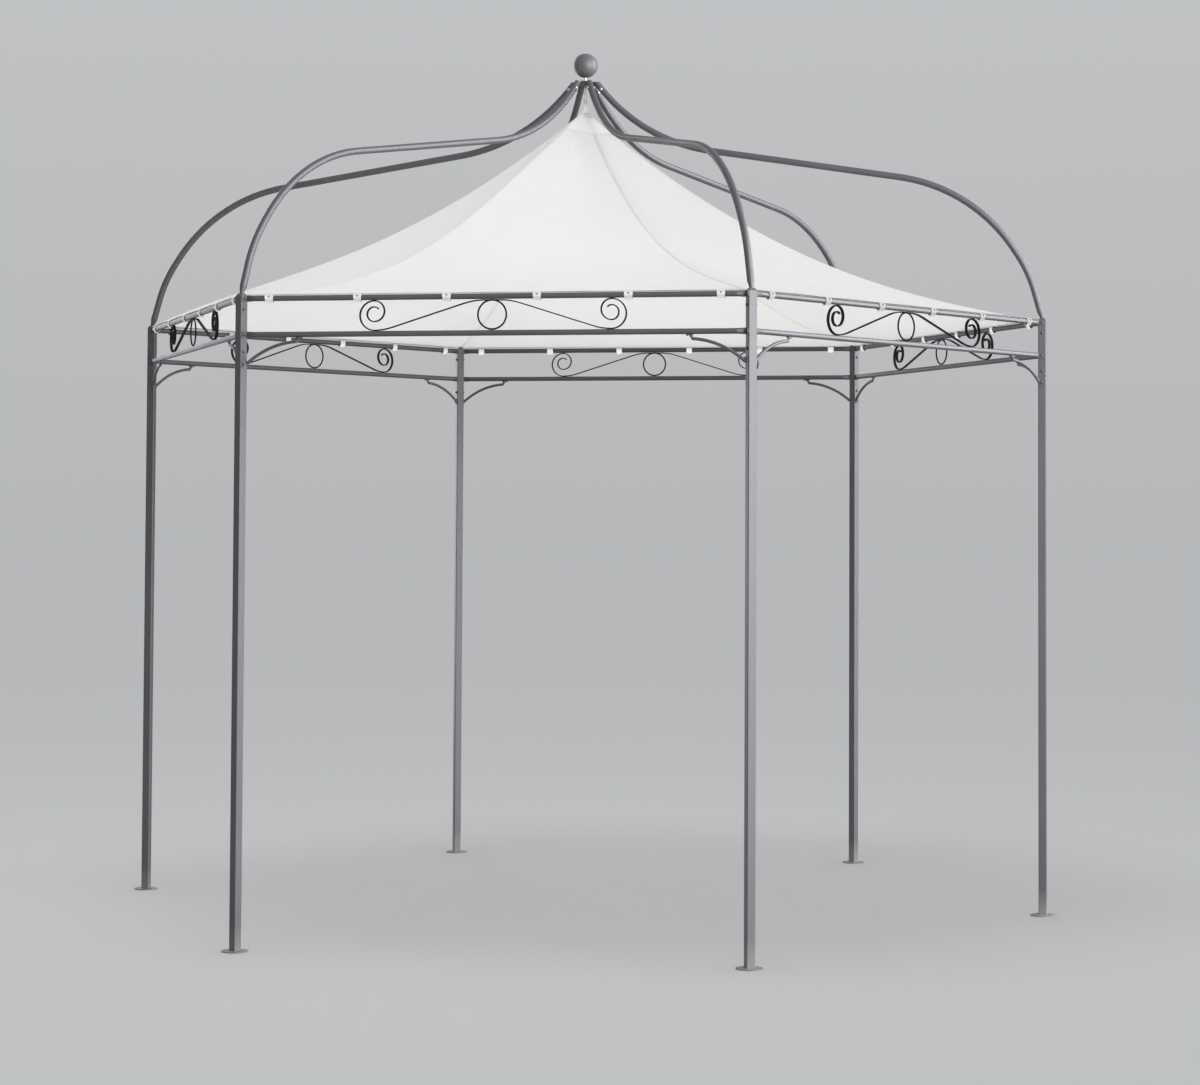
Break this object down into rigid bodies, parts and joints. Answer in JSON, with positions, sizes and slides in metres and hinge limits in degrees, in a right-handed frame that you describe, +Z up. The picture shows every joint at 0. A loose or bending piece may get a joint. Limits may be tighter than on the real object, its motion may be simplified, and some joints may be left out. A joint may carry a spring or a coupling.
{
  "type": "garden gazebo",
  "caption": "Six-sided garden gazebo: slim steel posts, scrollwork rails, ogee arches to a ball finial, and an open tent roof of off-white cloth.",
  "frame": {"origin": "centre of the six posts at ground level", "axes": "+Z up, +X along the front and back sides' rails, -Y towards the front side"},
  "size_m": [3.59, 3.1208, 3.2628],
  "materials": {
    "frame_steel": "anthracite powder coat, satin",
    "scroll_steel": "anthracite powder coat, satin",
    "finial_plastic": "grey-brown, satin",
    "strap_fabric": "off-white webbing",
    "roof_fabric": "off-white polyester cloth",
    "cord_fabric": "off-white cord"
  },
  "bodies": {
    "root": {"post_1": "frame_steel", "post_2": "frame_steel", "post_3": "frame_steel", "post_4": "frame_steel", "post_5": "frame_steel", "post_6": "frame_steel", "arch_1": "frame_steel", "arch_2": "frame_steel", "arch_3": "frame_steel", "arch_4": "frame_steel", "arch_5": "frame_steel", "arch_6": "frame_steel", "upper_rail_1": "frame_steel", "upper_rail_2": "frame_steel", "upper_rail_3": "frame_steel", "upper_rail_4": "frame_steel", "upper_rail_5": "frame_steel", "upper_rail_6": "frame_steel", "lower_rail_1": "frame_steel", "lower_rail_2": "frame_steel", "lower_rail_3": "frame_steel", "lower_rail_4": "frame_steel", "lower_rail_5": "frame_steel", "lower_rail_6": "frame_steel", "scrollwork_1": "scroll_steel", "scrollwork_2": "scroll_steel", "scrollwork_3": "scroll_steel", "scrollwork_4": "scroll_steel", "scrollwork_5": "scroll_steel", "scrollwork_6": "scroll_steel", "knee_braces_1": "frame_steel", "knee_braces_2": "frame_steel", "knee_braces_3": "frame_steel", "knee_braces_4": "frame_steel", "knee_braces_5": "frame_steel", "knee_braces_6": "frame_steel", "hub": "frame_steel", "finial": "finial_plastic", "straps": "strap_fabric", "roof": "roof_fabric", "peak_cord": "cord_fabric"}
  },
  "joints": []
}
